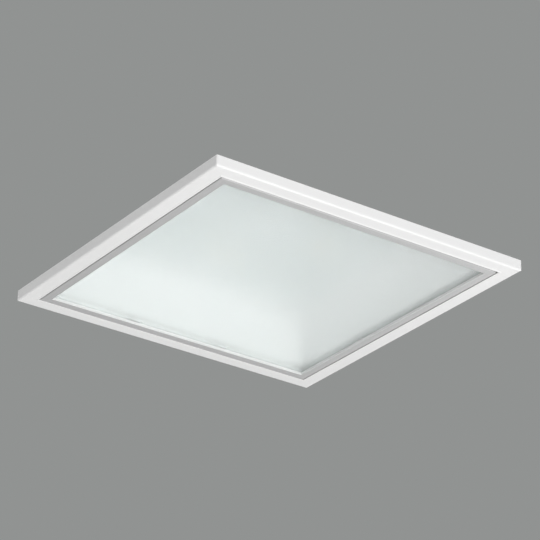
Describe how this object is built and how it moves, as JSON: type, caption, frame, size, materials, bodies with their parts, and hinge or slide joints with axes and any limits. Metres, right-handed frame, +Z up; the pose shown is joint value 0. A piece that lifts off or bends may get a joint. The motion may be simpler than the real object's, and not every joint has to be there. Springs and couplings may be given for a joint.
{
  "type": "recessed square downlight",
  "caption": "Recessed square ceiling downlight: white bezel, hinged grey door frame with frosted glass, steel housing with lamp boards, driver, wiring box and sprung clips.",
  "frame": {"origin": "centre of the square where the top of the bezel's rim meets the underside of the ceiling", "axes": "+Z up into the ceiling; +X along one side of the square, towards the cable gland; +Y towards the door's hinge"},
  "size_m": [0.3792, 0.3, 0.0971],
  "materials": {
    "white_paint": "satin powder coat",
    "door_aluminium": "satin anodised",
    "frosted_glass": "acid-etched on the upper face",
    "zinc_steel": "bright zinc plate",
    "spring_steel": "drawn spring steel",
    "stainless": "fine brushed",
    "foam": "closed-cell foam",
    "silicone": "translucent silicone",
    "black_rubber": "matte",
    "board_white": "white solder mask",
    "chip_phosphor": "phosphor under clear resin",
    "ivory_plastic": "moulded",
    "case_plastic": "fine texture",
    "circuit_green": "solder mask",
    "component_mix": "wound and moulded parts",
    "dark_plastic": "moulded",
    "block_plastic": "moulded",
    "lever_plastic": "moulded",
    "gland_plastic": "moulded polyamide",
    "wire_insulation": "insulation",
    "earth_insulation": "insulation",
    "link_insulation": "insulation",
    "brass": "plain",
    "sleeve_plastic": "soft sleeve"
  },
  "bodies": {
    "housing": {"bezel": "white_paint", "bezel_screws": "zinc_steel", "ceiling_gasket": "foam", "hinge_pins": "stainless", "hinge_pin_screws": "zinc_steel", "housing": "white_paint", "catch_clips": "spring_steel", "catch_rivets": "zinc_steel", "led_boards": "board_white", "led_chips": "chip_phosphor", "board_screws": "zinc_steel", "board_connectors": "ivory_plastic", "board_links": "link_insulation", "led_leads": "wire_insulation", "wire_grommet": "black_rubber", "driver_case": "case_plastic", "driver_cover": "case_plastic", "driver_board": "circuit_green", "driver_parts": "component_mix", "driver_terminals": "dark_plastic", "driver_screws": "zinc_steel", "wiring_box": "case_plastic", "lid_pin": "stainless", "wiring_box_screws": "zinc_steel", "terminal_block": "block_plastic", "lever_pin": "stainless", "gland_body": "gland_plastic", "gland_locknut": "gland_plastic", "gland_seal": "black_rubber", "gland_cap": "gland_plastic", "mains_leads": "wire_insulation", "earth_stud": "zinc_steel", "earth_nuts": "brass", "earth_lug": "zinc_steel", "earth_lead": "earth_insulation", "clip_brackets": "zinc_steel", "bracket_rivets": "zinc_steel", "clip_pins": "stainless"},
    "door": {"door_frame": "door_aluminium", "glass_panel": "frosted_glass", "glass_gasket": "silicone", "glass_clips": "stainless", "door_screws": "zinc_steel", "catch_blades": "stainless"},
    "arm_left_front": {"clip_arm_left_front": "spring_steel", "clip_sleeve_left_front": "sleeve_plastic"},
    "arm_left_back": {"clip_arm_left_back": "spring_steel", "clip_sleeve_left_back": "sleeve_plastic"},
    "arm_right_front": {"clip_arm_right_front": "spring_steel", "clip_sleeve_right_front": "sleeve_plastic"},
    "arm_right_back": {"clip_arm_right_back": "spring_steel", "clip_sleeve_right_back": "sleeve_plastic"},
    "wiring_lid": {"wiring_box_lid": "case_plastic"},
    "lever_line": {"terminal_lever_line": "lever_plastic"},
    "lever_neutral": {"terminal_lever_neutral": "lever_plastic"},
    "lever_earth": {"terminal_lever_earth": "lever_plastic"}
  },
  "joints": [
    {"name": "door_hinge", "type": "hinge", "parent": "housing", "child": "door", "pos_m": [0, 0.1341, -0.00785], "axis": [1, 0, 0], "range_deg": [0, 90]},
    {"name": "clip_left_front", "type": "hinge", "parent": "housing", "child": "arm_left_front", "pos_m": [-0.13708, -0.085, 0.02544], "axis": [0, 1, 0], "range_deg": [0, 105], "stiffness_Nm_per_rad": 0.25, "springref_deg": -137.51},
    {"name": "clip_left_back", "type": "hinge", "parent": "housing", "child": "arm_left_back", "pos_m": [-0.13708, 0.085, 0.02544], "axis": [0, 1, 0], "range_deg": [0, 105], "stiffness_Nm_per_rad": 0.25, "springref_deg": -137.51},
    {"name": "clip_right_front", "type": "hinge", "parent": "housing", "child": "arm_right_front", "pos_m": [0.13708, -0.085, 0.02544], "axis": [0, -1, 0], "range_deg": [0, 105], "stiffness_Nm_per_rad": 0.25, "springref_deg": -137.51},
    {"name": "clip_right_back", "type": "hinge", "parent": "housing", "child": "arm_right_back", "pos_m": [0.13708, 0.085, 0.02544], "axis": [0, -1, 0], "range_deg": [0, 105], "stiffness_Nm_per_rad": 0.25, "springref_deg": -137.51},
    {"name": "lid_hinge", "type": "hinge", "parent": "housing", "child": "wiring_lid", "pos_m": [0.067, 0.0827, 0.0849], "axis": [-1, 0, 0], "range_deg": [0, 110]},
    {"name": "lever_line_hinge", "type": "hinge", "parent": "housing", "child": "lever_line", "pos_m": [0.059, 0.0436, 0.0733], "axis": [1, 0, 0], "range_deg": [0, 85]},
    {"name": "lever_neutral_hinge", "type": "hinge", "parent": "housing", "child": "lever_neutral", "pos_m": [0.067, 0.0436, 0.0733], "axis": [1, 0, 0], "range_deg": [0, 85]},
    {"name": "lever_earth_hinge", "type": "hinge", "parent": "housing", "child": "lever_earth", "pos_m": [0.075, 0.0436, 0.0733], "axis": [1, 0, 0], "range_deg": [0, 85]}
  ]
}
